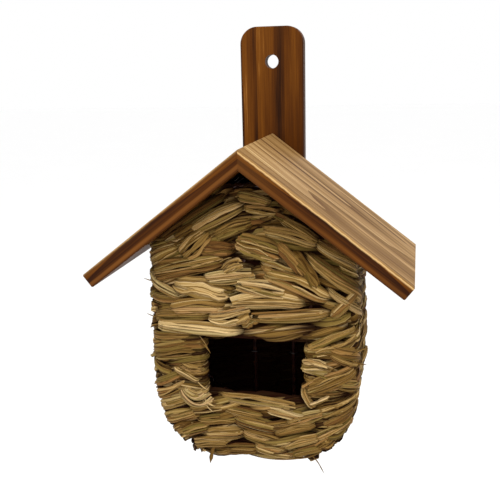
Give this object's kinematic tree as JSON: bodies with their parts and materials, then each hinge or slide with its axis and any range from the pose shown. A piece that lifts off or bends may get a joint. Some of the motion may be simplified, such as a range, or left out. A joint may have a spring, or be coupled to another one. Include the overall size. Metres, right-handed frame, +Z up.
{
  "type": "woven bird house",
  "caption": "Wall-hung bird nesting house: carbonised wood back board and pitched roof over a basket of twined dry grass with a wide front entrance.",
  "frame": {"origin": "centre of the hanging hole at the back board's wall face", "axes": "+X to the viewer's right, +Y into the wall along the hanging hole, -Y towards the viewer, +Z up"},
  "size_m": [0.2066, 0.122, 0.2844],
  "materials": {
    "back_wood": "satin",
    "roof_wood": "satin",
    "grass": "matte",
    "frame_wire": "satin",
    "fastener_steel": "satin"
  },
  "bodies": {
    "root": {"back_board": "back_wood", "back_hoop": "frame_wire", "back_stake_left": "frame_wire", "back_stake_right": "frame_wire", "back_staples": "fastener_steel", "base_course_1": "grass", "base_course_2": "grass", "base_course_3": "grass", "base_course_4": "grass", "centre_stake_lower": "frame_wire", "centre_stake_upper": "frame_wire", "eave_rail_left": "frame_wire", "eave_rail_right": "frame_wire", "floor_course_1": "grass", "floor_course_2": "grass", "floor_course_3": "grass", "floor_course_4": "grass", "floor_rib_1": "frame_wire", "floor_rib_2": "frame_wire", "front_hoop": "frame_wire", "gable_course_back_1": "grass", "gable_course_back_2": "grass", "gable_course_back_3": "grass", "gable_course_front_1": "grass", "gable_course_front_2": "grass", "gable_course_front_3": "grass", "jamb_stake_left": "frame_wire", "jamb_stake_right": "frame_wire", "ridge_rod": "frame_wire", "roof_board_left": "roof_wood", "roof_board_right": "roof_wood", "roof_nails": "fastener_steel", "roof_staples": "fastener_steel", "side_course_1": "grass", "side_course_2": "grass", "side_course_3": "grass", "side_course_4": "grass", "wall_course_1": "grass", "wall_course_2": "grass", "wall_course_3": "grass", "wall_course_4": "grass", "wall_course_5": "grass", "wall_course_6": "grass"}
  },
  "joints": []
}
